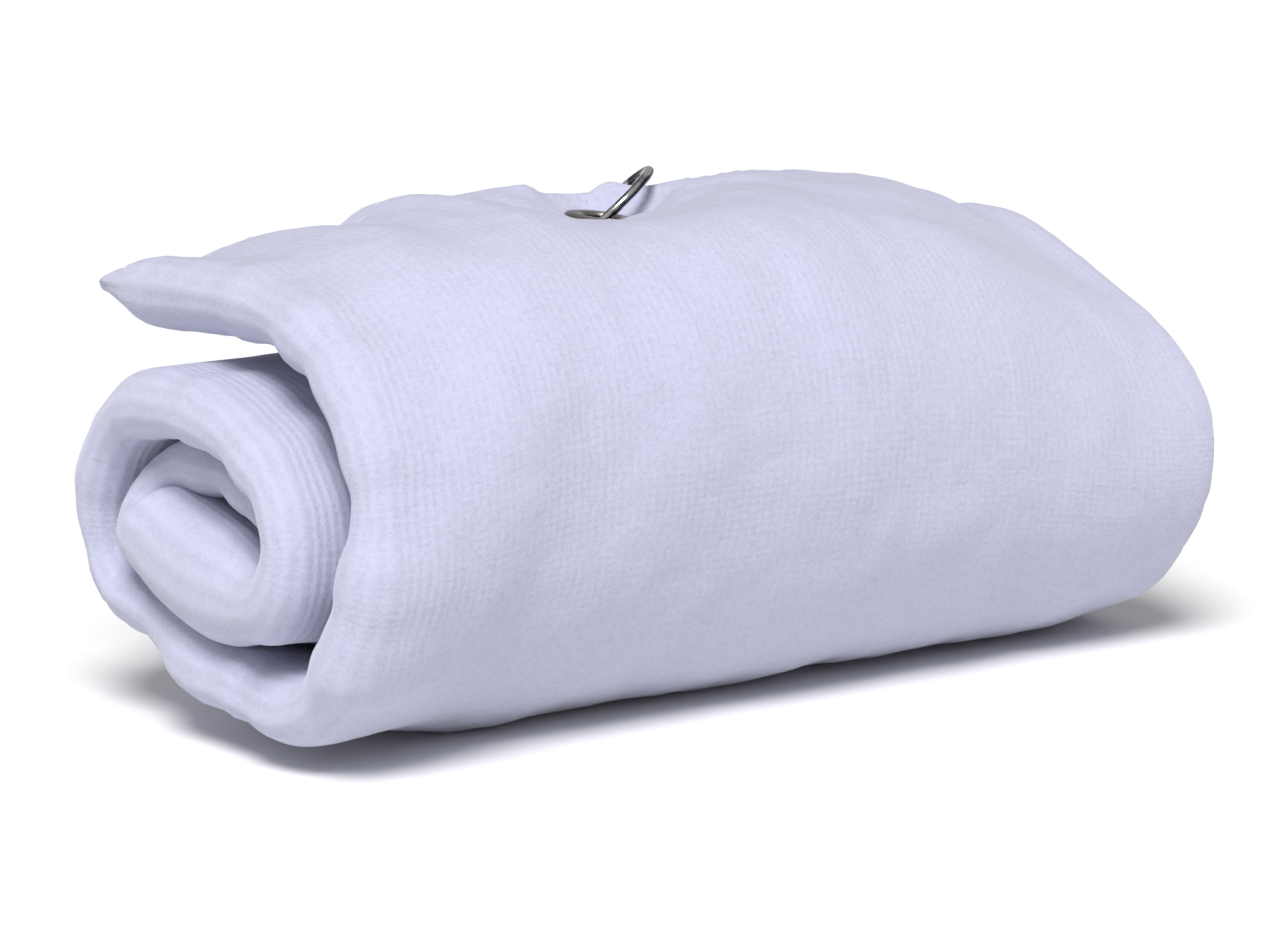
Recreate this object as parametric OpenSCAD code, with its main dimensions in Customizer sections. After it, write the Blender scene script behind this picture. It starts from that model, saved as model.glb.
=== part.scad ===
// Terry velour golf towel, both sides folded in to the middle, rolled up loosely from its
// inner end. A grommet near the outer hem carries a small spring-gate hook.
// +X runs along the roll, +Y goes to the back, where the free flap ends, +Z is up.

/* [Towel] */
// Length of the roll, which is half the width of the flat towel
roll_length = 192; // [180:1:200]
// Scale of the spiral's outline and of the cloth's thickness
roll_scale = 1; // [0.95:0.01:1.05]
// How far the inner turns stand out of the left end
telescope = 10; // [4:1:14]
// Extra height of the middle of the roll over its ends, as a share of the height
middle_rise = 0.12; // [0.08:0.01:0.14]
// Height of the waves along the free flap, as a share of those of the real one
flap_wave = 1; // [0:0.1:1.1]
// Depth of the valley that the hook pulls into the flap
valley_depth = 7; // [6:0.5:7]

/* [Grommet] */
// Clear hole through the eyelet
hole_d = 7.2; // [7:0.1:7.6]
// Outer diameter of the eyelet's flange
flange_d = 14; // [13.4:0.1:14.4]
// Thickness of the cloth pinched between flange and washer
pinch_t = 2; // [1.6:0.1:2.2]

/* [Hook] */
// Overall length of the hook
hook_length = 36; // [35:0.5:37]
// Distance between the middles of the hook's two long sides
hook_width = 22; // [21:0.5:23]
// Diameter of the hook's wire
wire_d = 1.8; // [1.6:0.1:1.8]
// Diameter of the gate
gate_d = 3; // [2.8:0.1:3.2]
// Length of the hook above the middle of the grommet
hook_above = 15; // [14:0.5:15]
// Lean of the hook to the right, away from upright
hook_lean = 48; // [44:1:50]

/* [Stitching] */
// Distance from one stitch to the next
stitch_pitch = 4; // [3:0.5:6]
// Diameter of the sewing thread
thread_d = 0.6; // [0.4:0.1:0.8]

/* [Hidden] */
$fn = 48;

// The spiral's middle line: [back, up, thickness] from the free hem inwards.
spiral = [
    [47, 74, 4], [38, 74, 10], [26, 74.5, 13], [11, 75.5, 13.5], [-5, 76.5, 13], [-20, 75.5, 12],
    [-32, 68, 11], [-39.5, 56, 11], [-40.8, 42, 11], [-37.8, 28, 11], [-30, 16.5, 11], [-19.5, 9.2, 12],
    [-6, 5.6, 12.5], [8, 6.6, 13], [22, 12.5, 13], [33, 21, 12], [40, 32, 11], [41, 44, 11],
    [36, 54, 12], [23.5, 59.5, 12.5], [9, 60.5, 12.5], [-6, 59.5, 12.5], [-18.5, 53.5, 12.5],
    [-25.6, 43.5, 12], [-26.2, 33.6, 11], [-19.5, 24.5, 11.5], [-8, 22.8, 13.5], [4, 24.2, 15],
    [16, 27, 15], [24.5, 33, 12], [26, 39, 11], [19, 44, 11], [8, 44.5, 11], [-3, 43, 11],
    [-10.5, 39.5, 8.5], [-13.5, 36, 5]
];
spiral_end = len(spiral) - 1;
rings = 105;
half_length = roll_length / 2;
// Where rows of points cross the cloth, as shares of its width.
cross_steps = [0.1, 0.18, 0.24, 0.3, 0.36, 0.41, 0.46, 0.51, 0.56, 0.62, 0.7, 0.8, 0.9];
edge_steps = 3;
edge_round = 1.2;
// Waves of the free hem, as [place along the roll, height].
flap_waves = [
    [-104, 4.5], [-90, 2.2], [-79, 0.9], [-68, 1.5], [-55, -3], [-47, -1.5], [-40, 1.2], [-28, 0.4],
    [-10, 2.7], [14, 2.4], [25, 0], [38, 0.5], [48, 0.2], [57, 0.8], [75, -0.1], [84, -2.4], [97, -0.6]
];
floor_cut = 0.8;
// Distance from the middle of the roll to the stitching of each side hem.
side_hem = 10;

// The grommet's place on the flap, and how it is tipped by the hook's pull.
grommet_at = [6.5, 34];
grommet_up = 82;
grommet_tip = [4, 6, 0];
// The valley runs this way down the front of the flap, as a share of its length along and across the roll.
valley_way = [0.588, 0.809];
// It is deepest this far in front of the grommet. Its length and width to the front, then to the back.
valley_shift = 6;
valley_front = [33, 12];
valley_back = [10, 9];
seat_r = flange_d / 2 + 0.4;
hole_gap = 0.1;
pocket_depth = 4.6;
pocket_size = [50, 42, 19.2];
pocket_from = [-18.5, -11.2];
barrel_t = 0.4;
flange_t = 0.6;
washer_t = 0.4;
lip_t = 0.5;
washer_d = flange_d - 1.2;
barrel_r = hole_d / 2 + barrel_t;

// The hook's own frame: +X across the loop, +Z along it, origin in the grommet.
hook_turn = [hook_lean, 5, 59.5];
wire_r = wire_d / 2;
bow_r = hook_width / 2;
top_bow_z = hook_above - wire_r - bow_r;
low_bow_z = top_bow_z - (hook_length - hook_width - wire_d);
gate_r = gate_d / 2;
tongue_t = 1;
tongue_r = 1;
slot_t = tongue_t + 0.2;
rivet_r = 0.4;
rivet_gap = 0.05;
rivet_head_r = 0.75;
rivet_head_t = 0.3;
bow_gap_angle = 13;
gate_top_z = top_bow_z + 0.9;
gate_end_z = low_bow_z + 0.25;
catch_h = 1.8;
bore_r = 0.95;
plunger_r = 0.85;
plunger_h = 1.5;
plunger_top_z = top_bow_z - tongue_r - 0.1;
spring_top_z = plunger_top_z - plunger_h;
spring_h = 4.2;
spring_r = 0.7;
spring_wire_r = 0.14;
spring_turns = 6;

// The whole part's middle, moved onto the origin.
part_middle = [-4.5, 5.94, floor_cut];

function smooth(a, b, x) = let (t = min(1, max(0, (x - a) / (b - a)))) t * t * (3 - 2 * t);

// Cubic spline over the spiral's keys; q runs from 0 to spiral_end.
function key(i) =
    i < 0 ? 2 * spiral[0] - spiral[1] :
    i > spiral_end ? 2 * spiral[spiral_end] - spiral[spiral_end - 1] : spiral[i];
function spline(q) =
    let (i = min(floor(q), spiral_end - 1), u = q - i, v = 1 - u)
    (v * v * v * key(i - 1) + (3 * u * u * u - 6 * u * u + 4) * key(i)
        + (-3 * u * u * u + 3 * u * u + 3 * u + 1) * key(i + 1) + u * u * u * key(i + 2)) / 6;

// Each warp moves the middle line up or down at [back, up] for a place along the roll.
function warp_left(x, q, y, z) =
    let (left = 1 - smooth(-97, -55, x), low = 1 - smooth(34, 60, z),
         lift = 7.5 * smooth(10.2, 12.4, q) * (1 - smooth(13.4, 15.6, q)) + 3.5 * smooth(17.5, 20, q),
         sink = 5 * smooth(14.6, 16, q) * (1 - smooth(17.3, 19.5, q)) * (1 - smooth(50, 66, z)))
    z + (lift * low - sink) * left;
function warp_middle(x, q, y, z) =
    z + 1.12 * middle_rise * max(0, z - 12)
        * smooth(-92, -44, x) * (1 - smooth(42, 97, x)) * (1 - smooth(13, 17, q));
function hem_wave(x) =
    let (i = max([for (k = [0:len(flap_waves) - 2]) if (k == 0 || flap_waves[k][0] <= x) k]),
         t = smooth(flap_waves[i][0], flap_waves[i + 1][0], x))
    flap_waves[i][1] * (1 - t) + flap_waves[i + 1][1] * t;
// Beside the grommet only the hem itself stands up.
function warp_flap(x, q, y, z) =
    let (beside = smooth(-34, -16, x) * (1 - smooth(22, 42, x)))
    z + flap_wave * hem_wave(x) * (1 - smooth(5, 8, q)) * smooth(60 * beside - 30, 26 * beside + 20, y);
function warp_right(x, q, y, z) =
    let (slumped = z - 0.18 * smooth(0, 97, x) * max(0, z - 8) * (1 - smooth(-22, 28, y)))
    slumped + 1.5 * smooth(60, 97, x) * (1 - smooth(12, 60, slumped));
function warp_valley(x, q, y, z) =
    let (dx = x - grommet_at[0], dy = y - grommet_at[1],
         along = dx * valley_way[0] + dy * valley_way[1] + valley_shift,
         across = dx * valley_way[1] - dy * valley_way[0],
         size = valley_back + (valley_front - valley_back) * (1 - smooth(-8, 8, along)),
         fall = pow(along / size[0], 2) / 2 + pow(across / size[1], 2) / 2)
    z - valley_depth * (1 - smooth(5, 8, q)) * exp(-fall);

// Middle line of the cloth at spiral place q and at x along the roll.
function middle(q, x) =
    let (p = spline(q), y = p[0],
         z1 = warp_left(x, q, y, p[1]), z2 = warp_middle(x, q, y, z1),
         z3 = warp_flap(x, q, y, z2), z4 = warp_right(x, q, y, z3),
         z5 = warp_valley(x, q, y, z4))
    [x, y * (1 - 0.05 * smooth(0, 97, x)), z5] * roll_scale;
function thickness(q, x) =
    spline(q)[2] * (1 - 0.14 * smooth(0, 97, x) * smooth(8, 14, q)) * roll_scale;
// Outward direction of the cloth's outer face.
function outward(q, x) =
    let (a = middle(max(0, q - 0.05), x), b = middle(min(spiral_end, q + 0.05), x),
         d = (b - a) / norm(b - a))
    [0, d[2], -d[1]];
function left_x(q) =
    -half_length + 0.5 - 0.6 * telescope * smooth(5, 13, q)
        - 0.4 * telescope * smooth(14, 19, q) + 0.3 * telescope * smooth(27, 32, q);
function right_x(q) = half_length + 0.5;
// A point on the cloth: side is +1 on the outer face and -1 on the inner face.
function on_cloth(q, x, side, share = 1) =
    middle(q, x) + side * share * thickness(q, x) / 2 * outward(q, x);

// The closed outline of the cloth across its width, as points of one ring.
function ring(q) =
    let (a = left_x(q), b = right_x(q), r = edge_round * thickness(q, 0) / 2,
         edge = [for (k = [1:edge_steps]) let (t = 90 * k / edge_steps) [r * (1 - cos(t)), sin(t)]],
         across = concat([for (e = edge) [a + e[0], e[1]]],
             [for (f = cross_steps) [a + f * (b - a), 1]],
             [for (k = [edge_steps - 1:-1:0]) [b - edge[k][0], edge[k][1]]]),
         last = len(across) - 1)
    concat([middle(q, a)], [for (p = across) on_cloth(q, p[0], 1, p[1])],
        [middle(q, b)], [for (k = [last:-1:0]) on_cloth(q, across[k][0], -1, across[k][1])]);

// Sweeps rings of points into one closed skin.
module skin(loops) {
    n = len(loops[0]);
    m = len(loops);
    polyhedron(
        points = [for (loop = loops) each loop],
        faces = concat(
            [[for (k = [n - 1:-1:0]) k]],
            [for (i = [0:m - 2], k = [0:n - 1]) let (j = (k + 1) % n)
                each [[i * n + k, i * n + j, (i + 1) * n + j], [i * n + k, (i + 1) * n + j, (i + 1) * n + k]]],
            [[for (k = [0:n - 1]) (m - 1) * n + k]]),
        convexity = 12);
}

module placed() {
    translate(-part_middle) children();
}

module at_grommet() {
    placed() translate([grommet_at[0], grommet_at[1], grommet_up]) rotate(grommet_tip) children();
}

module at_hook() {
    at_grommet() translate([0, 0, -pinch_t / 2]) rotate(-[grommet_tip[0], 0, 0])
        rotate(-[0, grommet_tip[1], 0]) rotate(hook_turn) children();
}

// The cloth is kept as one triangulated skin, cuts included.
module towel_cloth() {
    color("white") resize([0, 0, 0]) difference() {
        placed() skin([for (i = [0:rings]) ring(spiral_end * i / rings)]);
        translate([-roll_length, -roll_length, -roll_length])
            cube([2 * roll_length, 2 * roll_length, roll_length]);
        at_grommet() {
            cylinder(r = seat_r, h = 20);
            translate([0, 0, -15]) cylinder(r = barrel_r + hole_gap, h = 20);
            translate([0, 0, -pinch_t - 9]) cylinder(r = seat_r + 1.6, h = 9);
            translate([pocket_from[0], pocket_from[1], -pocket_depth - pocket_size[2]])
                cube(pocket_size);
        }
    }
}

// One straight stitch between two points.
module stitch(a, b) {
    d = b - a;
    translate(a) rotate([0, acos(d[2] / norm(d)), atan2(d[1], d[0])])
        cylinder(d = thread_d, h = norm(d), $fn = 16);
}

// Stitches between pairs of points, with a gap after each.
module stitch_row(points) {
    placed() for (i = [0:len(points) - 2])
        stitch(points[i], points[i] + 0.7 * (points[i + 1] - points[i]));
}

// A row across the cloth at one place in the spiral.
function row_across(q, side, a, b) =
    let (n = floor((b - a) / stitch_pitch))
    [for (i = [0:n]) on_cloth(q, a + i * (b - a) / n, side)];

// The side hems meet near the middle, and splay apart round the hook's pocket.
function side_hem_x(side, q) =
    side < 0 ? -side_hem - 14 * (1 - smooth(2, 7, q)) : side_hem + 32 * (1 - smooth(2, 7, q));

// A row along the spiral, on the inner face of one side hem.
function row_along(side, q_from, q_to, n) =
    [for (i = [0:n]) let (q = q_from + (q_to - q_from) * i / n) on_cloth(q, side_hem_x(side, q), -1)];

module outer_hem_stitching() {
    color("ghostwhite") stitch_row(row_across(0.35, 1, left_x(0) + 5, right_x(0) - 5));
}

module inner_hem_stitching() {
    color("ghostwhite") stitch_row(row_across(34.6, -1, left_x(34) + 6, right_x(34) - 6));
}

module left_side_stitching() {
    color("ghostwhite") stitch_row(row_along(-1, 1, 31, 88));
}

module right_side_stitching() {
    color("ghostwhite") stitch_row(row_along(1, 1, 31, 88));
}

module grommet_eyelet() {
    r = hole_d / 2;
    rim = flange_d / 2;
    color("silver") at_grommet() rotate_extrude() polygon([
        [r, -pinch_t - washer_t - lip_t * 0.4], [r, 0], [r + 0.35, flange_t * 0.75], [r + 1, flange_t],
        [rim - 1.4, flange_t], [rim - 0.4, flange_t * 0.7], [rim, 0], [barrel_r, 0],
        [barrel_r, -pinch_t - washer_t], [barrel_r + 0.9, -pinch_t - washer_t],
        [barrel_r + 0.7, -pinch_t - washer_t - lip_t * 0.8], [barrel_r, -pinch_t - washer_t - lip_t]]);
}

module grommet_washer() {
    color("silver") at_grommet() translate([0, 0, -pinch_t - washer_t]) difference() {
        cylinder(d = washer_d, h = washer_t);
        translate([0, 0, -1]) cylinder(r = barrel_r, h = washer_t + 2);
    }
}

// Part of a round bow of wire in the loop's plane, from one angle to another.
module bow(z, from, angle) {
    translate([bow_r, 0, z]) rotate([90, 0, 0]) rotate([0, 0, from])
        rotate_extrude(angle = angle) translate([bow_r, 0]) circle(d = wire_d);
}

module hook_frame() {
    color("lightgray") at_hook() {
        bow(top_bow_z, bow_gap_angle, 180 - bow_gap_angle);
        bow(low_bow_z, 180, 180);
        translate([0, 0, low_bow_z]) cylinder(d = wire_d, h = top_bow_z - low_bow_z);
        for (z = [low_bow_z, top_bow_z])
            translate([0, 0, z]) cylinder(r = wire_r + 0.02, h = 0.4, center = true);
        difference() {
            hinge_tongue();
            translate([hook_width, 5, top_bow_z]) rotate([90, 0, 0])
                cylinder(r = rivet_r, h = 10);
        }
        translate([hook_width - wire_r, -tongue_t / 2, low_bow_z - 0.3]) cube([wire_d, tongue_t, catch_h]);
    }
}

// The flattened end of the wire that the gate's rivet passes through.
module hinge_tongue() {
    rise = bow_r * sin(bow_gap_angle);
    translate([hook_width, tongue_t / 2, top_bow_z]) rotate([90, 0, 0])
        cylinder(r = tongue_r, h = tongue_t);
    translate([hook_width - tongue_r, -tongue_t / 2, top_bow_z])
        cube([2 * tongue_r - 0.3, tongue_t, rise + 0.4]);
}

module hook_gate() {
    color("lightgray") at_hook() difference() {
        translate([hook_width, 0, gate_end_z]) cylinder(r = gate_r, h = gate_top_z - gate_end_z);
        translate([hook_width - 5, -slot_t / 2, plunger_top_z]) cube([10, slot_t, 10]);
        translate([hook_width - wire_r - 0.15, -slot_t / 2, gate_end_z - 1]) cube([5, slot_t, catch_h + 1]);
        translate([hook_width, 0, spring_top_z - spring_h]) cylinder(r = bore_r, h = spring_h + 5);
        translate([hook_width, 5, top_bow_z]) rotate([90, 0, 0])
            cylinder(r = rivet_r + rivet_gap, h = 10);
    }
}

module gate_rivet() {
    color("gray") at_hook() translate([hook_width, 0, top_bow_z]) rotate([90, 0, 0]) {
        translate([0, 0, -gate_r - 0.1]) cylinder(r = rivet_r, h = gate_d + 0.2);
        for (side = [-1, 1])
            translate([0, 0, side * (gate_r + 0.1 + rivet_head_t / 2) - rivet_head_t / 2])
                cylinder(r = rivet_head_r, h = rivet_head_t);
    }
}

module gate_plunger() {
    color("gray") at_hook() translate([hook_width, 0, spring_top_z]) cylinder(r = plunger_r, h = plunger_h);
}

module gate_spring() {
    steps = 14;
    sides = 6;
    rise = spring_h - 2 * spring_wire_r;
    loops = [for (i = [0:spring_turns * steps])
        let (a = 360 * i / steps, z = spring_top_z - spring_h + spring_wire_r + rise * i / (spring_turns * steps))
        [for (k = [0:sides - 1])
            let (c = 360 * k / sides, r = spring_r + spring_wire_r * cos(c))
            [hook_width + r * cos(a), r * sin(a), z + spring_wire_r * sin(c)]]];
    color("gray") at_hook() skin(loops);
}

towel_cloth();
outer_hem_stitching();
inner_hem_stitching();
left_side_stitching();
right_side_stitching();
grommet_eyelet();
grommet_washer();
hook_frame();
hook_gate();
gate_rivet();
gate_spring();
gate_plunger();
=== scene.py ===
"""Looks of a rolled terry golf towel with an eyelet and a small wire hook, round its CAD frame.

Lengths inside the cloth functions are millimetres in the roll's own frame: x along the roll,
y back, z up. Everything is moved into the CAD frame, in metres, when a mesh is made.
"""
import math

import bpy
import numpy as np
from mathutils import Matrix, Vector


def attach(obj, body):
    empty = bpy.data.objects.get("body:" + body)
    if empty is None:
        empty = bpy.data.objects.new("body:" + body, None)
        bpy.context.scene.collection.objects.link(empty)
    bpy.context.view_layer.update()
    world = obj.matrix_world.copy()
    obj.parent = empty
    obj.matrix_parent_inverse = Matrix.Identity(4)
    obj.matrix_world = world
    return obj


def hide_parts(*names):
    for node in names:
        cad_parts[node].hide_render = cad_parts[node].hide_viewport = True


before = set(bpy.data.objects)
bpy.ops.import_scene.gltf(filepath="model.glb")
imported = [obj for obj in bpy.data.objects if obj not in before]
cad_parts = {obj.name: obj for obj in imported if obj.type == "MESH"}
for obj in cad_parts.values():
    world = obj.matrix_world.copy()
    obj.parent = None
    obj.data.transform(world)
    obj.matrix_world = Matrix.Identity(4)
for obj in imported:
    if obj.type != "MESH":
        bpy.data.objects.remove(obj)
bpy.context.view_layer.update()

MM = 0.001
PART_MIDDLE = np.array([-4.5, 5.94, 0.8])

# ---------------------------------------------------------------- camera
CAMERA_AZIMUTH = 36.0
CAMERA_ELEVATION = 11.0
CAMERA_DISTANCE = 0.826
CAMERA_TARGET = Vector((-0.004, -0.00594, 0.0387))
CAMERA_LENS = 126.2

# ---------------------------------------------------------------- towel
FLAT_WIDTH, FLAT_LENGTH = 381.0, 457.0
HALF_LENGTH = 96.0
TELESCOPE = 10.0
EDGE_ROUND = 1.2
LAYER_GAP = 0.5
RIB_PITCH = 1.75
HEM_WIDTH = 9.5

# Stitches: their spacing, how much of it each one fills, how far they arch and lie in the pile.
STITCH_PITCH = 4.0
STITCH_SHARE = 0.78
STITCH_ARCH = 0.32
STITCH_SUNK = 0.40
STITCH_SIDES, STITCH_STEPS = 8, 6
THREAD_R = 0.3

# The grid of the sheet: its steps, how far the folded-in sides reach, and the hems' rounding.
ROW_STEP = 1.7
FLAP_STEP = 2.3
FINE_STEP = 1.0
FLAP_REACH = 85.0
FRONT_REACH = 180.0
HEM_R = 1.9
HEM_STEPS = 6

# The roll's middle line as [back, up, thickness of the doubled cloth], from the free hem in.
SPIRAL = np.array([
    [47, 74, 4], [38, 74, 10], [26, 74.5, 13], [11, 75.5, 13.5], [-5, 76.5, 13],
    [-20, 75.5, 12], [-32, 68, 11], [-39.5, 56, 11], [-40.8, 42, 11], [-37.8, 28, 11],
    [-30, 16.5, 11], [-19.5, 9.2, 12],
    [-6, 5.6, 12.5], [8, 6.6, 13], [22, 12.5, 13], [33, 21, 12], [40, 32, 11], [41, 44, 11],
    [36, 54, 12], [23.5, 59.5, 12.5], [9, 60.5, 12.5], [-6, 59.5, 12.5], [-18.5, 53.5, 12.5],
    [-25.6, 43.5, 12], [-26.2, 33.6, 11], [-19.5, 24.5, 11.5], [-8, 22.8, 13.5], [4, 24.2, 15],
    [16, 27, 15], [24.5, 33, 12], [26, 39, 11], [19, 44, 11], [8, 44.5, 11], [-3, 43, 11],
    [-10.5, 39.5, 8.5], [-13.5, 36, 5]])
SPIRAL_END = len(SPIRAL) - 1

# Waves of the free hem: places along the roll, and how far the hem stands up there.
FLAP_WAVE = (
    (-104, 4.5), (-90, 2.2), (-79, 0.9), (-68, 1.5), (-55, -3.0), (-47, -1.5), (-40, 1.2),
    (-28, 0.4), (-10, 3.0), (3, 4.2), (14, 3.6), (26, 1.0), (38, 0.5), (48, 0.2), (57, 0.8),
    (75, -0.1), (84, -2.4), (97, -0.6))

# How the roll differs from its plain spiral: lifts and swellings in millimetres, the rest shares.
LEFT_FRONT_LIFT = 7.5
LEFT_INNER_LIFT = 3.5
LEFT_INNER_DROP = 5.0
LEFT_CORE_LIFT = 2.0
CORE_SWELL = 6.0
MIDDLE_RISE = 0.12 * 1.12
RIGHT_SLUMP = 0.2
RIGHT_LIFT = 1.5
RIGHT_NARROW = 0.05
RIGHT_THIN = 0.14

# The valley that the hook pulls into the flap: its depth, the way it runs to the front, how far
# in front of the eyelet it is deepest, and its length and width to the front and to the back.
VALLEY_DEPTH = 7.6
VALLEY_WAY = (0.588, 0.809)
VALLEY_SHIFT = 8.0
VALLEY_FRONT = (33.0, 12.0)
VALLEY_BACK = (13.0, 9.0)

# Lumps of the cloth as (height, size across, seed), and how hard the hook presses the turn below.
LUMPS = ((0.55, 26, 3), (0.3, 12, 4), (0.12, 5, 5))
PILE = (0.05, 2.6, 6)
HOOK_PRESS = 0.62

# ---------------------------------------------------------------- eyelet
GROMMET_AT = np.array([6.5, 34.0, 82.0])
GROMMET_TIP_X, GROMMET_TIP_Y = math.radians(4), math.radians(6)
FLANGE_R = 7.0
PINCH_T = 2.0
CLOTH_HOLE_R = 4.6
# How gently the cloth rises from the pinch outside and inside, and the room left over the hook.
PINCH_EASE_OUTSIDE = 9.0
PINCH_EASE_BETWEEN = 3.5
HOOK_ROOM = 4.2


def smooth(low, high, x):
    """0 below low, 1 above high, and a smooth step between."""
    t = np.clip((np.asarray(x, float) - low) / (high - low), 0, 1)
    return t * t * (3 - 2 * t)


def within(rise, fall, x):
    """0 outside, 1 inside: a smooth step up over the rise span and down over the fall span."""
    return smooth(*rise, x) * (1 - smooth(*fall, x))


def noise(u, v, cell, seed):
    """Smooth noise in -1..1 on a plane, with features about one cell wide."""
    table = np.random.RandomState(seed).uniform(-1, 1, (97, 97))
    a, b = np.asarray(u, float) / cell + 500, np.asarray(v, float) / cell + 500
    i, j = np.floor(a).astype(int), np.floor(b).astype(int)
    fa, fb = a - i, b - j
    fa, fb = fa * fa * fa * (fa * (fa * 6 - 15) + 10), fb * fb * fb * (fb * (fb * 6 - 15) + 10)
    i0, i1, j0, j1 = i % 97, (i + 1) % 97, j % 97, (j + 1) % 97
    top = table[i0, j0] * (1 - fa) + table[i1, j0] * fa
    low = table[i0, j1] * (1 - fa) + table[i1, j1] * fa
    return 1.6 * (top * (1 - fb) + low * fb)


# ---------------------------------------------------------------- the roll's shape
def spline(q):
    """Cubic B-spline through the spiral's keys: back, up and thickness at place q."""
    keys = np.vstack([2 * SPIRAL[0] - SPIRAL[1], SPIRAL, 2 * SPIRAL[-1] - SPIRAL[-2]])
    q = np.asarray(q, float)
    i = np.minimum(np.floor(q).astype(int), SPIRAL_END - 1)
    u = (q - i)[..., None]
    v = 1 - u
    return (v ** 3 * keys[i] + (3 * u ** 3 - 6 * u ** 2 + 4) * keys[i + 1]
            + (-3 * u ** 3 + 3 * u ** 2 + 3 * u + 1) * keys[i + 2] + u ** 3 * keys[i + 3]) / 6


def along_wave(x, waves):
    """Smooth curve through a few (place, height) pairs, at places x."""
    places, heights = np.array(waves, float).T
    i = np.clip(np.searchsorted(places, x) - 1, 0, len(places) - 2)
    t = np.clip((x - places[i]) / (places[i + 1] - places[i]), 0, 1)
    t = t * t * (3 - 2 * t)
    return heights[i] * (1 - t) + heights[i + 1] * t


def middle(q, x):
    """Back and up of the doubled cloth's middle surface at spiral place q, at x along the roll."""
    key = spline(q)
    y, z = key[..., 0], key[..., 1]
    left = 1 - smooth(-97, -55, x)
    low = 1 - smooth(34, 60, z)
    # The left end's underside is lifted behind its front corner, and so are the turns inside it.
    lift = (LEFT_FRONT_LIFT * within((10.2, 12.4), (13.4, 15.6), q)
            + LEFT_INNER_LIFT * smooth(17.5, 20, q))
    drop = LEFT_INNER_DROP * within((14.6, 16), (17.3, 19.5), q) * (1 - smooth(50, 66, z))
    z = z + (lift * low - drop) * left
    # The outer wrap stands fuller in the middle of the roll than at its ends.
    fuller = within((-92, -44), (42, 97), x) * (1 - smooth(13, 17, q))
    z = z + MIDDLE_RISE * np.maximum(0, z - 12) * fuller
    flap = 1 - smooth(5, 8, q)
    # Beside the eyelet only the hem itself stands up, so that the eyelet is seen from the front.
    beside = within((-34, -16), (22, 42), x)
    z = z + flap * smooth(-30 + 60 * beside, 20 + 26 * beside, y) * along_wave(x, FLAP_WAVE)
    right = smooth(0, 97, x)
    z = z - RIGHT_SLUMP * right * np.maximum(0, z - 8) * (1 - smooth(-22, 28, y))
    z = z + RIGHT_LIFT * smooth(60, 97, x) * (1 - smooth(12, 60, z))
    z = z - VALLEY_DEPTH * flap * eyelet_valley(x, y)
    z = z + core_swell(q, x) / 2 + LEFT_CORE_LIFT * left * smooth(29, 31, q)
    return y * (1 - RIGHT_NARROW * right), z


def eyelet_valley(x, y):
    """Share of the dip round the eyelet, which runs on as a shallow valley down the flap."""
    dx, dy = x - GROMMET_AT[0], y - GROMMET_AT[1]
    along = dx * VALLEY_WAY[0] + dy * VALLEY_WAY[1] + VALLEY_SHIFT
    across = dx * VALLEY_WAY[1] - dy * VALLEY_WAY[0]
    front = 1 - smooth(-8, 8, along)
    length = VALLEY_BACK[0] + (VALLEY_FRONT[0] - VALLEY_BACK[0]) * front
    width = VALLEY_BACK[1] + (VALLEY_FRONT[1] - VALLEY_BACK[1]) * front
    return np.exp(-(along / length) ** 2 / 2 - (across / width) ** 2 / 2)


def core_swell(q, x):
    """Extra thickness of the innermost turn's lower side, which puffs up at the left end."""
    return CORE_SWELL * (1 - smooth(-97, -50, x)) * within((24.2, 26.2), (28, 30), q)


def thickness(q, x):
    thinner = RIGHT_THIN * smooth(0, 97, x) * smooth(8, 14, q)
    return spline(q)[..., 2] * (1 - thinner) + core_swell(q, x)


def outward(q, x):
    """Back and up parts of the unit direction out of the cloth's outer face."""
    ya, za = middle(np.maximum(0, q - 0.05), x)
    yb, zb = middle(np.minimum(SPIRAL_END, q + 0.05), x)
    dy, dz = yb - ya, zb - za
    size = np.hypot(dy, dz)
    return dz / size, -dy / size


def left_x(q):
    """The left end of each turn: the inner ones stand out like a telescope, the innermost less."""
    return (-HALF_LENGTH + 0.5 - 0.6 * TELESCOPE * smooth(5, 13, q)
            - 0.4 * TELESCOPE * smooth(14, 19, q) + 0.8 * TELESCOPE * smooth(28.5, 31, q))


def right_x(q):
    return HALF_LENGTH + 0.5 + 0 * np.asarray(q, float)


def splay(q):
    """How far the side hems are pulled apart round the hook, from 1 at the free hem to 0."""
    return 1 - smooth(2, 7, q)


def left_hem_x(q):
    return -0.6 - 14 * splay(q)


def right_hem_x(q):
    return 0.6 + 32 * splay(q)


# ---------------------------------------------------------------- the sheet's grid
def spread(low, high, step, fine=None, fine_step=1.0):
    """Places from low to high about one step apart, closer together inside the fine span."""
    cuts = [low, high] if fine is None else [low, fine[0], fine[1], high]
    steps = [step] if fine is None else [step, fine_step, step]
    parts = []
    for a, b, s in zip(cuts[:-1], cuts[1:], steps):
        parts.append(np.linspace(a, b, max(2, int(round((b - a) / s))) + 1)[:-1])
    return np.append(np.concatenate(parts), high)


def hem_turn():
    """Distances from a cut edge of the lines that round it off."""
    return HEM_R * (1 - np.cos(np.linspace(0, math.pi / 2, HEM_STEPS + 1)))


def hem_fullness(from_edge):
    """Share of the full thickness at a distance from a cut edge."""
    return np.sqrt(np.clip(1 - (np.maximum(0, HEM_R - from_edge) / HEM_R) ** 2, 0, 1))


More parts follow.
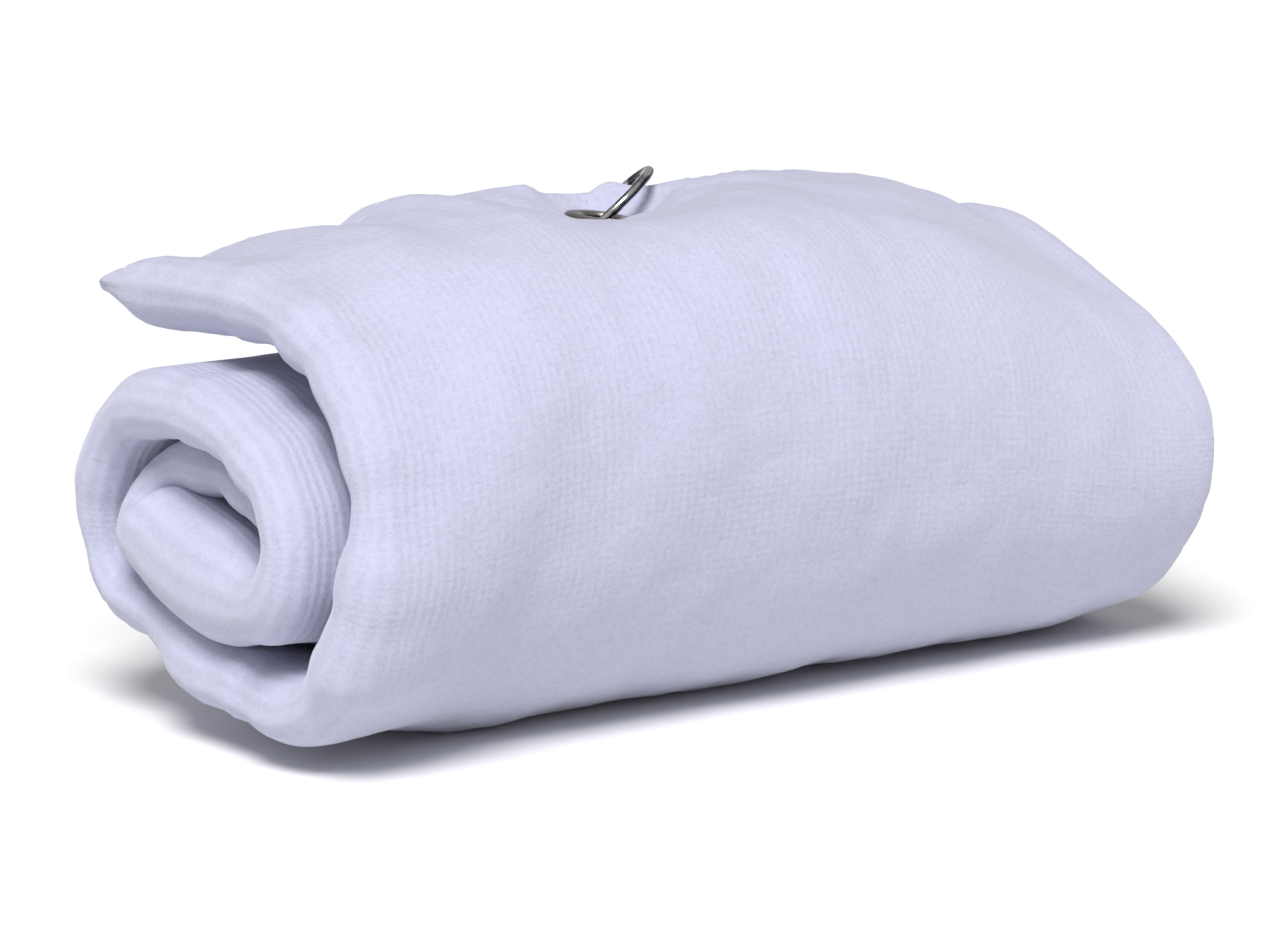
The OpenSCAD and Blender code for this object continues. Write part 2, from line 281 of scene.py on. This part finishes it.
def rows_of_spiral():
    """Spiral places of the rows, evenly spaced in length, with rounded hems at both ends."""
    q = np.linspace(0, SPIRAL_END, 6000)
    y, z = middle(q, np.full_like(q, -40.0))
    run = np.concatenate([[0], np.cumsum(np.hypot(np.diff(y), np.diff(z)))])
    turn = hem_turn()
    inside = spread(HEM_R, run[-1] - HEM_R, ROW_STEP, fine=(HEM_R + 0.01, 30), fine_step=FINE_STEP)
    at = np.concatenate([turn[:-1], inside, (run[-1] - turn[:-1])[::-1]])
    fullness = hem_fullness(np.minimum(at, run[-1] - at))
    fullness[0] = fullness[-1] = 0
    return np.interp(at, run, q), at, fullness


def columns_of_fold():
    """Columns from one side hem, round the left fold, over the front and on to the other hem.

    Each has a kind (-1 left hem flap, 0 front, 1 right hem flap, -2 and 2 folds), a share along
    that stretch, the cosine and sine of its turn round the fold, and its fullness near a cut edge.
    """
    flap_run = np.concatenate([hem_turn()[:-1], spread(HEM_R, FLAP_REACH, FLAP_STEP)])
    flap_share = flap_run / FLAP_REACH
    flap_full = hem_fullness(flap_run)
    flap_full[0] = 0
    front = spread(0, FRONT_REACH, ROW_STEP, fine=(88, 118), fine_step=FINE_STEP) / FRONT_REACH
    fold = np.linspace(-math.pi / 2, math.pi / 2, 15)[1:-1]
    kind, share, cx, so, full = [], [], [], [], []

    def add(k, s, c, o, f):
        for list_, values in ((kind, k), (share, s), (cx, c), (so, o), (full, f)):
            list_.append(np.asarray(values, float) * np.ones(len(s)))
    add(-1, flap_share, 0, -1, flap_full)
    add(-2, 0 * fold, -np.cos(fold), np.sin(fold), 1)
    add(0, front, 0, 1, 1)
    add(2, 0 * fold, np.cos(fold), np.sin(fold)[::-1], 1)
    add(1, flap_share[::-1], 0, -1, flap_full[::-1])
    return [np.concatenate(c) for c in (kind, share, cx, so, full)]


def surfaces():
    """Outside and between-layer faces of the folded sheet, as grids, with their flat places."""
    q, run, row_full = rows_of_spiral()
    kind, share, cx, so, col_full = columns_of_fold()
    Q = q[:, None]
    r = EDGE_ROUND * spline(Q)[..., 2] / 2
    left_end, right_end = left_x(Q) + r, right_x(Q) - r
    base = np.where(kind == 0, left_end * (1 - share) + right_end * share, 0)
    base = np.where(kind == -2, left_end, base)
    base = np.where(kind == 2, right_end, base)
    base = np.where(kind == -1, left_hem_x(Q) * (1 - share) + left_end * share, base)
    base = np.where(kind == 1, right_hem_x(Q) * (1 - share) + right_end * share, base)
    QQ = Q + 0 * base
    faces = []
    for out_r, is_outside in ((r, True), (LAYER_GAP / 2 + 0 * r, False)):
        x = base + out_r * cx
        t = thickness(QQ, x) / 2 if is_outside else LAYER_GAP / 2 + 0 * x
        y, z = middle(QQ, x)
        ny, nz = outward(QQ, x)
        faces.append(np.stack([x, y + t * so * ny, z + t * so * nz], -1))
    outside, between = faces
    dent_under_hook(QQ, outside, between)
    full = (row_full[:, None] * col_full[None, :])[..., None]
    centre, half = (outside + between) / 2, (outside - between) / 2
    flat = flat_places(centre, run)
    return dict(outside=centre + full * half, between=centre - full * half, q=QQ,
                so=so + 0 * base, full=full[..., 0], u=flat[0], v=flat[1])


def flat_places(centre, run):
    """Place of each grid point on the flat towel, in millimetres."""
    step = np.linalg.norm(np.diff(centre, axis=1), axis=2)
    u = np.concatenate([np.zeros((len(run), 1)), np.cumsum(step, axis=1)], axis=1).mean(0)
    u = (u / u[-1] - 0.5) * FLAT_WIDTH
    v = run / run[-1] * FLAT_LENGTH
    shape = centre.shape[:2]
    return np.broadcast_to(u[None, :], shape), np.broadcast_to(v[:, None], shape)


def eyelet_frame():
    """The eyelet's two cross directions and its axis."""
    cx, sx = math.cos(GROMMET_TIP_X), math.sin(GROMMET_TIP_X)
    cy, sy = math.cos(GROMMET_TIP_Y), math.sin(GROMMET_TIP_Y)
    turn_x = np.array([[1, 0, 0], [0, cx, -sx], [0, sx, cx]])
    turn_y = np.array([[cy, 0, sy], [0, 1, 0], [-sy, 0, cy]])
    turn = turn_y @ turn_x
    return turn[:, 0], turn[:, 1], turn[:, 2]


def to_eyelet(points):
    a, b, c = eyelet_frame()
    d = points - GROMMET_AT
    return np.stack([d @ a, d @ b, d @ c], -1)


def dent_under_hook(q, outside, between):
    """Presses both faces of the turn below the hook down, where the hook's lower end hangs."""
    x, y = outside[..., 0], outside[..., 1]
    near = (within((17.0, 18.6), (20.6, 22.5), q) * within((-20, -8), (36, 50), x)
            * smooth(12, 24, y))
    my, mz = middle(q, x)
    ny, nz = outward(q, x)
    t = thickness(q, x) / 2
    for face in (outside, between):
        off = (face[..., 1] - my) * ny + (face[..., 2] - mz) * nz
        pressed = -t + (off + t) * (1 - HOOK_PRESS * near)
        face[..., 1] += (pressed - off) * ny
        face[..., 2] += (pressed - off) * nz


def grid_normals(points):
    """Unit normals of a grid of points, pointing out of the outer face."""
    along = np.gradient(points, axis=0)
    across = np.gradient(points, axis=1)
    n = np.cross(along, across)
    size = np.linalg.norm(n, axis=2, keepdims=True)
    return n / np.maximum(size, 1e-9)


def crumple(sheet):
    """Adds the creases, puckers and soft lumps of real cloth to the outside faces."""
    p = sheet["outside"]
    u, v, q = sheet["u"], sheet["v"], sheet["q"]
    x = p[..., 0]
    exposed = 1 - smooth(15, 18, q)
    hidden = 0.3 + 0.7 * exposed
    lumps = sum(size * noise(u, v, cell, seed) for size, cell, seed in LUMPS)
    pile = PILE[0] * noise(u, v, *PILE[1:])
    # Long shallow folds run round the front, most of them near the left end.
    folds = 0.8 * noise(u * 0.3 + 0.12 * v, v * 0.12, 7, 8)
    folds = folds * (1 - smooth(-70, 10, x)) * exposed
    # The doubled edge at the left end ripples between its puffs.
    ripple = 0.9 * noise(v, 0 * v, 14, 9) + 0.55 * noise(v, u * 0.1, 7, 10)
    rim = (1 - smooth(-96, -72, x)) * ripple
    outer = sheet["so"] > 0.2
    height = (lumps + pile) * np.where(outer, hidden, 0.25)
    height = height + np.where(outer, folds, 0) + rim * 0.8
    height += eyelet_puckers(p, q) * outer
    height *= sheet["full"]
    sheet["outside"] = p - height[..., None] * grid_normals(p)


def eyelet_puckers(points, q):
    """Small pleats that the eyelet gathers, fanning out to both sides."""
    e = to_eyelet(points)
    r = np.hypot(e[..., 0], e[..., 1])
    angle = np.arctan2(e[..., 1], e[..., 0])
    near = (1 - smooth(2.5, 4.5, q)) * smooth(6.8, 10, r) * np.exp(-np.maximum(0, r - 9) / 9)
    fan = 0.8 * np.cos(9 * angle + 0.6) + 0.6 * np.cos(5 * angle - 1.1)
    return near * fan


def seat_eyelet(sheet):
    """Pinches the front layer flat between flange and washer, and thins it over the hook."""
    a, b, c = eyelet_frame()
    is_front = (sheet["so"] > 0.5) & (sheet["q"] < 4)
    for name, level, rim, ease in (
            ("outside", -0.02, FLANGE_R + 0.2, PINCH_EASE_OUTSIDE),
            ("between", -PINCH_T + 0.02, FLANGE_R - 0.4, PINCH_EASE_BETWEEN)):
        p = sheet[name]
        e = to_eyelet(p)
        r = np.hypot(e[..., 0], e[..., 1])
        pull = np.where(is_front & (np.abs(e[..., 2]) < 16), 1 - smooth(rim, rim + ease, r), 0)
        lift = pull * (level - e[..., 2])
        if name == "between":
            over_hook = within((-24, -17), (30, 37), e[..., 0]) * smooth(-17, -10, e[..., 1])
            room = over_hook * np.maximum(0, -HOOK_ROOM - e[..., 2])
            lift = lift + np.where(is_front, room, 0) * (1 - pull)
        p += lift[..., None] * c
        ring = is_front & (r > 1e-6) & (r < CLOTH_HOLE_R + 1.6) & (r >= CLOTH_HOLE_R - 0.4)
        near_hole = np.where(ring, CLOTH_HOLE_R + np.maximum(0, r - CLOTH_HOLE_R) - r, 0)
        direction = (e[..., 0:1] * a + e[..., 1:2] * b) / np.maximum(r, 1e-6)[..., None]
        p += near_hole[..., None] * direction


def rest_on_floor(sheet):
    """Flattens the underside on the surface it lies on."""
    floor = PART_MIDDLE[2] + 0.02
    for name in ("outside", "between"):
        low = floor + (0.6 if name == "between" else 0)
        sheet[name][..., 2] = np.maximum(sheet[name][..., 2], low)


def in_frame(points):
    """Millimetres of the roll's own frame to metres of the CAD frame."""
    return (np.asarray(points) - PART_MIDDLE) * MM


def mesh_object(name, points, faces, uv=None, smooth_shading=True):
    mesh = bpy.data.meshes.new(name)
    mesh.from_pydata([tuple(p) for p in points], [], [tuple(f) for f in faces])
    mesh.validate()
    if uv is not None:
        layer = mesh.uv_layers.new(name="cloth_mm")
        loops = np.zeros(len(mesh.loops), dtype=np.int32)
        mesh.loops.foreach_get("vertex_index", loops)
        layer.data.foreach_set("uv", np.asarray(uv, np.float32)[loops].ravel())
    mesh.polygons.foreach_set("use_smooth", [smooth_shading] * len(mesh.polygons))
    mesh.update()
    obj = bpy.data.objects.new(name, mesh)
    bpy.context.scene.collection.objects.link(obj)
    return obj


def cloth_object(sheet):
    """Joins the outside and between-layer grids into one closed skin with a hole for the eyelet."""
    rows, cols = sheet["outside"].shape[:2]
    outer_id = np.arange(rows * cols).reshape(rows, cols)
    inner_id = outer_id + rows * cols
    border = np.zeros((rows, cols), bool)
    border[0] = border[-1] = True
    border[:, 0] = border[:, -1] = True
    inner_id[border] = outer_id[border]
    e = to_eyelet(sheet["outside"])
    r = np.hypot(e[..., 0], e[..., 1])
    in_hole = (r < CLOTH_HOLE_R - 0.05) & (sheet["so"] > 0.5) & (sheet["q"] < 4)
    cell_cut = in_hole[:-1, :-1] | in_hole[1:, :-1] | in_hole[1:, 1:] | in_hole[:-1, 1:]
    corners = [outer_id[:-1, :-1], outer_id[1:, :-1], outer_id[1:, 1:], outer_id[:-1, 1:]]
    inner_corners = [inner_id[:-1, :-1], inner_id[:-1, 1:], inner_id[1:, 1:], inner_id[1:, :-1]]
    keep = ~cell_cut
    front = np.stack([c[keep] for c in corners], -1)
    back = np.stack([c[keep] for c in inner_corners], -1)
    # The faces at two of the towel's corners are split the other way, so that no triangle has
    # all three points on the shared border.
    corner = np.zeros_like(cell_cut)
    corner[0, -1] = corner[-1, 0] = True
    corner = corner[keep]
    front[corner] = np.roll(front[corner], 1, axis=1)
    back[corner] = np.roll(back[corner], 1, axis=1)
    walls = hole_walls(cell_cut, outer_id, inner_id)
    faces = np.concatenate([front, back, walls])
    points = np.concatenate([sheet["outside"].reshape(-1, 3), sheet["between"].reshape(-1, 3)])
    uv = np.stack([sheet["u"].ravel(), sheet["v"].ravel()], -1)
    uv = np.concatenate([uv, uv])
    used, packed = np.unique(faces, return_inverse=True)
    return mesh_object("towel_terry", in_frame(points[used]), packed.reshape(faces.shape), uv[used])


def hole_walls(cell_cut, outer_id, inner_id):
    """Faces that close the cut round the eyelet between the two sides of the layer."""
    walls = []
    rows, cols = cell_cut.shape
    for i, j in zip(*np.nonzero(cell_cut)):
        edges = (((i, j), (i, j + 1), (i - 1, j)), ((i + 1, j + 1), (i + 1, j), (i + 1, j)),
                 ((i + 1, j), (i, j), (i, j - 1)), ((i, j + 1), (i + 1, j + 1), (i, j + 1)))
        for start, end, other in edges:
            if not (0 <= other[0] < rows and 0 <= other[1] < cols) or cell_cut[other]:
                continue
            walls.append([outer_id[start], inner_id[start], inner_id[end], outer_id[end]])
    return np.array(walls, dtype=int).reshape(-1, 4)


# ---------------------------------------------------------------- stitching
def surface_at(sheet, column, row):
    """Point and normal of the outside face at a fractional column and row."""
    grid, normals = sheet["outside"], sheet["normals"]
    i = np.clip(int(math.floor(row)), 0, grid.shape[0] - 2)
    j = np.clip(int(math.floor(column)), 0, grid.shape[1] - 2)
    a, b = row - i, column - j

    def mix(g):
        near_row = g[i, j] * (1 - b) + g[i, j + 1] * b
        far_row = g[i + 1, j] * (1 - b) + g[i + 1, j + 1] * b
        return near_row * (1 - a) + far_row * a
    n = mix(normals)
    return mix(grid), n / np.linalg.norm(n)


def stitch_line(sheet, places):
    """Thread stitches along (u, v) places on the flat towel: short rounded loops with gaps.

    The row stops short of the eyelet on both sides.
    """
    u_axis, v_axis = sheet["u"][0], sheet["v"][:, 0]
    columns = np.interp([p[0] for p in places], u_axis, np.arange(len(u_axis)))
    rows = np.interp([p[1] for p in places], v_axis, np.arange(len(v_axis)))
    points, faces = [], []
    for k in range(len(places) - 1):
        spine = []
        for s in range(STITCH_STEPS + 1):
            share = STITCH_SHARE * s / STITCH_STEPS
            c = columns[k] + share * (columns[k + 1] - columns[k])
            r = rows[k] + share * (rows[k + 1] - rows[k])
            p, n = surface_at(sheet, c, r)
            arch = STITCH_ARCH * math.sin(math.pi * s / STITCH_STEPS)
            spine.append(p + n * (arch - STITCH_SUNK))
        from_eyelet = to_eyelet(np.array(spine))
        if (np.linalg.norm(from_eyelet, axis=1) < FLANGE_R + 2).any():
            continue
        tube(points, faces, np.array(spine), THREAD_R, STITCH_SIDES)
    return points, faces


def tube(points, faces, spine, radius, sides):
    """Appends a closed round tube along a spine of points."""
    start = len(points)
    tangent = np.gradient(spine, axis=0)
    tangent /= np.linalg.norm(tangent, axis=1, keepdims=True) + 1e-12
    up = np.array([0, 0, 1.0]) if abs(tangent[0][2]) < 0.9 else np.array([0, 1.0, 0])
    last = len(spine) - 1
    for i, (p, t) in enumerate(zip(spine, tangent)):
        side = np.cross(t, up)
        side /= np.linalg.norm(side)
        other = np.cross(side, t)
        r = radius * (0.55 if i in (0, last) else 1)
        for k in range(sides):
            a = 2 * math.pi * k / sides
            points.append(p + r * (math.cos(a) * side + math.sin(a) * other))
    for i in range(last):
        for k in range(sides):
            n = (k + 1) % sides
            a, b = start + i * sides, start + (i + 1) * sides
            faces.append([a + k, a + n, b + n, b + k])
    faces.append([start + k for k in range(sides)][::-1])
    faces.append([start + last * sides + k for k in range(sides)])


def evenly(low, high, pitch):
    return np.linspace(low, high, int(round((high - low) / pitch)) + 1)


def stitching(sheet, name, places, node):
    points, faces = stitch_line(sheet, places)
    obj = mesh_object(name, in_frame(points), faces)
    obj.data.materials.append(thread_material())
    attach(obj, "towel")
    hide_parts(node)
    return obj


def all_stitching(sheet):
    half, length = FLAT_WIDTH / 2 - HEM_WIDTH, FLAT_LENGTH - HEM_WIDTH
    across = evenly(-half, half, STITCH_PITCH)
    down = evenly(HEM_WIDTH, length, STITCH_PITCH)
    rows = (("stitching_outer_hem", [(u, HEM_WIDTH) for u in across], "outer_hem_stitching"),
            ("stitching_inner_hem", [(u, length) for u in across], "inner_hem_stitching"),
            ("stitching_left_side", [(-half, v) for v in down], "left_side_stitching"),
            ("stitching_right_side", [(half, v) for v in down], "right_side_stitching"))
    return [stitching(sheet, *row) for row in rows]


# ---------------------------------------------------------------- materials
class Nodes:
    """A short way to write a material's nodes."""

    def __init__(self, name):
        self.material = bpy.data.materials.get(name) or bpy.data.materials.new(name)
        self.material.use_nodes = True
        self.tree = self.material.node_tree
        self.tree.nodes.clear()
        self.shader = self.add("ShaderNodeBsdfPrincipled")
        out = self.add("ShaderNodeOutputMaterial")
        self.tree.links.new(self.shader.outputs[0], out.inputs["Surface"])

    def add(self, kind, **settings):
        node = self.tree.nodes.new(kind)
        for key, value in settings.items():
            setattr(node, key, value)
        return node

    def link(self, output, node, socket):
        self.tree.links.new(output, node.inputs[socket])

    def set(self, **values):
        for key, value in values.items():
            self.shader.inputs[key.replace("_", " ")].default_value = value

    def noise(self, vector, scale, detail=3.0, roughness=0.55):
        node = self.add("ShaderNodeTexNoise")
        node.inputs["Scale"].default_value = scale
        node.inputs["Detail"].default_value = detail
        node.inputs["Roughness"].default_value = roughness
        self.link(vector, node, "Vector")
        return node.outputs["Fac"]

    def math(self, operation, a, b=None, c=None):
        node = self.add("ShaderNodeMath", operation=operation)
        for socket, value in ((0, a), (1, b), (2, c)):
            if value is None:
                continue
            if isinstance(value, (int, float)):
                node.inputs[socket].default_value = value
            else:
                self.link(value, node, socket)
        return node.outputs[0]

    def ramp(self, factor, stops):
        node = self.add("ShaderNodeValToRGB")
        while len(node.color_ramp.elements) < len(stops):
            node.color_ramp.elements.new(0.5)
        for element, (place, colour) in zip(node.color_ramp.elements, stops):
            element.position = place
            element.color = (*colour, 1)
        self.link(factor, node, "Fac")
        return node.outputs["Color"]

    def bump(self, height, strength, distance, under=None):
        node = self.add("ShaderNodeBump")
        node.inputs["Strength"].default_value = strength
        node.inputs["Distance"].default_value = distance
        self.link(height, node, "Height")
        if under is not None:
            self.link(under, node, "Normal")
        return node.outputs["Normal"]


def object_place(n):
    return n.add("ShaderNodeTexCoord").outputs["Object"]


RIBS_AT_LEFT = 2.4
TERRY_LIGHT = (0.535, 0.54, 0.695)
TERRY_DARK = (0.465, 0.47, 0.61)
THREAD_LIGHT = (0.55, 0.555, 0.72)
THREAD_DARK = (0.46, 0.465, 0.61)


def terry_material():
    """Sheared terry: soft pile with faint ribs that run the long way of the towel."""
    n = Nodes("terry_velour")
    place = object_place(n)
    uv = n.add("ShaderNodeUVMap", uv_map="cloth_mm").outputs["UV"]
    split = n.add("ShaderNodeSeparateXYZ")
    n.link(uv, split, "Vector")
    wander = n.noise(place, 60, 2)
    across = n.math("ADD", split.outputs["X"], n.math("MULTIPLY", wander, 1.6))
    rib = n.math("SINE", n.math("MULTIPLY", across, 2 * math.pi / RIB_PITCH))
    rows = n.math("SINE", n.math("MULTIPLY", split.outputs["Y"], 2 * math.pi / (RIB_PITCH * 0.8)))
    patch = n.math("SUBTRACT", n.math("MULTIPLY", n.noise(place, 90, 3), 2.4), 0.6)
    where = n.add("ShaderNodeSeparateXYZ")
    n.link(place, where, "Vector")
    at_left = n.add("ShaderNodeMapRange", clamp=True)
    n.link(where.outputs["X"], at_left, "Value")
    for socket, value in (("From Min", -0.075), ("From Max", -0.100),
                          ("To Min", 0.0), ("To Max", RIBS_AT_LEFT)):
        at_left.inputs[socket].default_value = value
    weave = n.math("ADD", n.math("MULTIPLY", rib, n.math("ADD", patch, at_left.outputs["Result"])),
                   n.math("MULTIPLY", n.math("MULTIPLY", rows, patch), 0.5))
    pile = n.noise(place, 2200, 4, 0.65)
    tuft = n.noise(place, 800, 3, 0.6)
    shade = n.math("ADD", n.math("MULTIPLY", pile, 0.6), n.math("MULTIPLY", tuft, 0.4))
    shade = n.math("ADD", shade, n.math("MULTIPLY", weave, 0.02))
    colour = n.ramp(shade, ((0.34, TERRY_DARK), (0.56, TERRY_LIGHT)))
    n.link(colour, n.shader, "Base Color")
    normal = n.bump(weave, 0.16, 0.0002)
    normal = n.bump(tuft, 0.25, 0.0004, normal)
    normal = n.bump(pile, 0.45, 0.0003, normal)
    n.link(normal, n.shader, "Normal")
    n.set(Roughness=0.95, Sheen_Weight=0.35, Sheen_Roughness=0.5, Specular_IOR_Level=0.15)
    return n.material


def thread_material():
    if bpy.data.materials.get("sewing_thread"):
        return bpy.data.materials["sewing_thread"]
    n = Nodes("sewing_thread")
    place = object_place(n)
    fibre = n.noise(place, 2600, 3)
    n.link(n.ramp(fibre, ((0.3, THREAD_DARK), (0.7, THREAD_LIGHT))), n.shader, "Base Color")
    n.link(n.bump(fibre, 0.5, 0.0001), n.shader, "Normal")
    n.set(Roughness=0.7, Sheen_Weight=0.2)
    return n.material


# The side of the metal that the dark streaks are painted round. They stand for the dark
# reflections that a plain white studio doesn't give, so they stay put under other lights.
PAINTED_REFLECTION_SIDE = (-0.45, -0.62, 0.64)


def metal_material(name, light, dark, roughness, wear_scale=900, streaks=0.0):
    """Plated metal with fine wear, slightly uneven polish and painted reflection: dark streaks
    along its sides.
    """
    n = Nodes(name)
    place = object_place(n)
    wear = n.noise(place, wear_scale, 4, 0.6)
    cloud = n.noise(place, wear_scale * 0.2, 2)
    mixed = n.math("ADD", n.math("MULTIPLY", wear, 0.5), n.math("MULTIPLY", cloud, 0.5))
    facing = n.add("ShaderNodeVectorMath", operation="DOT_PRODUCT")
    n.link(n.add("ShaderNodeTexCoord").outputs["Normal"], facing, 0)
    facing.inputs[1].default_value = PAINTED_REFLECTION_SIDE
    # Painted reflection: light and dark bands set by which way the surface faces, not the metal's
    # own colour.
    painted_reflection_band = n.math("SINE", n.math("MULTIPLY", n.math("ADD", facing.outputs["Value"], cloud), 5.0))
    mixed = n.math("ADD", mixed, n.math("MULTIPLY", painted_reflection_band, streaks))
    n.link(n.ramp(mixed, ((0.35, dark), (0.62, light))), n.shader, "Base Color")
    n.link(n.math("MULTIPLY_ADD", wear, 0.5 * roughness, 0.75 * roughness), n.shader, "Roughness")
    n.link(n.bump(wear, 0.12, 0.00005), n.shader, "Normal")
    n.set(Metallic=1.0)
    return n.material


def give(node, material):
    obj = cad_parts[node]
    obj.data.materials.clear()
    obj.data.materials.append(material)
    for polygon in obj.data.polygons:
        polygon.use_smooth = True


# ---------------------------------------------------------------- room
KEY_FROM = (-0.66, -0.75, 1.35)
KEY_STRENGTH = 3.2
KEY_SPREAD_DEG = 24
SKY_STRENGTH = 0.35
FLOOR_DARK = (0.878, 0.878, 0.878)
FLOOR_LIGHT = (0.882, 0.882, 0.882)


def camera():
    az, el = math.radians(CAMERA_AZIMUTH), math.radians(CAMERA_ELEVATION)
    look = Vector((math.sin(az) * math.cos(el), math.cos(az) * math.cos(el), -math.sin(el)))
    data = bpy.data.cameras.new("camera")
    data.lens = CAMERA_LENS
    data.sensor_width = 36
    data.clip_end = 20
    obj = bpy.data.objects.new("camera", data)
    obj.location = CAMERA_TARGET - look * CAMERA_DISTANCE
    obj.rotation_euler = look.to_track_quat("-Z", "Y").to_euler()
    bpy.context.scene.collection.objects.link(obj)
    bpy.context.scene.camera = obj


def floor():
    side = 12
    points = [(-side, -side, 0), (side, -side, 0), (side, side, 0), (-side, side, 0)]
    obj = mesh_object("floor", points, [(0, 1, 2, 3)], smooth_shading=False)
    n = Nodes("floor_white")
    grain = n.noise(object_place(n), 40, 2)
    n.link(n.ramp(grain, ((0.3, FLOOR_DARK), (0.7, FLOOR_LIGHT))), n.shader, "Base Color")
    n.set(Roughness=0.9, Specular_IOR_Level=0.1)
    obj.data.materials.append(n.material)


def sun_light(name, comes_from, strength):
    """A wide, even light, so that the floor is equally bright all over."""
    data = bpy.data.lights.new(name, "SUN")
    data.angle = math.radians(KEY_SPREAD_DEG)
    data.energy = strength
    obj = bpy.data.objects.new(name, data)
    obj.rotation_euler = (-Vector(comes_from)).to_track_quat("-Z", "Y").to_euler()
    bpy.context.scene.collection.objects.link(obj)


def lights():
    sun_light("key", KEY_FROM, KEY_STRENGTH)
    world = bpy.context.scene.world or bpy.data.worlds.new("studio")
    bpy.context.scene.world = world
    world.use_nodes = True
    background = world.node_tree.nodes["Background"]
    background.inputs["Color"].default_value = (1, 1, 1, 1)
    background.inputs["Strength"].default_value = SKY_STRENGTH
    bpy.context.scene.view_settings.view_transform = "Standard"


# ---------------------------------------------------------------- build
camera()

towel = surfaces()
crumple(towel)
seat_eyelet(towel)
rest_on_floor(towel)
towel["normals"] = grid_normals(towel["outside"])
cloth = cloth_object(towel)
cloth.data.materials.append(terry_material())
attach(cloth, "towel")
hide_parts("towel_cloth")
threads = all_stitching(towel)

nickel = metal_material("nickel_plated_eyelet", (0.44, 0.41, 0.38), (0.16, 0.145, 0.13), 0.3)
# The wire's near-black dark colour is painted dark reflection, which the streaks and the wear noise
# mix with its light colour.
chrome = metal_material("polished_hook_wire", (0.72, 0.72, 0.73), (0.05, 0.05, 0.055), 0.16,
                        wear_scale=500, streaks=0.3)
steel = metal_material("spring_steel", (0.55, 0.55, 0.56), (0.35, 0.35, 0.36), 0.25)
give("grommet_eyelet", nickel)
give("grommet_washer", nickel)
give("hook_frame", chrome)
give("hook_gate", chrome)
give("gate_rivet", steel)
give("gate_spring", steel)
give("gate_plunger", steel)

floor()
lights()
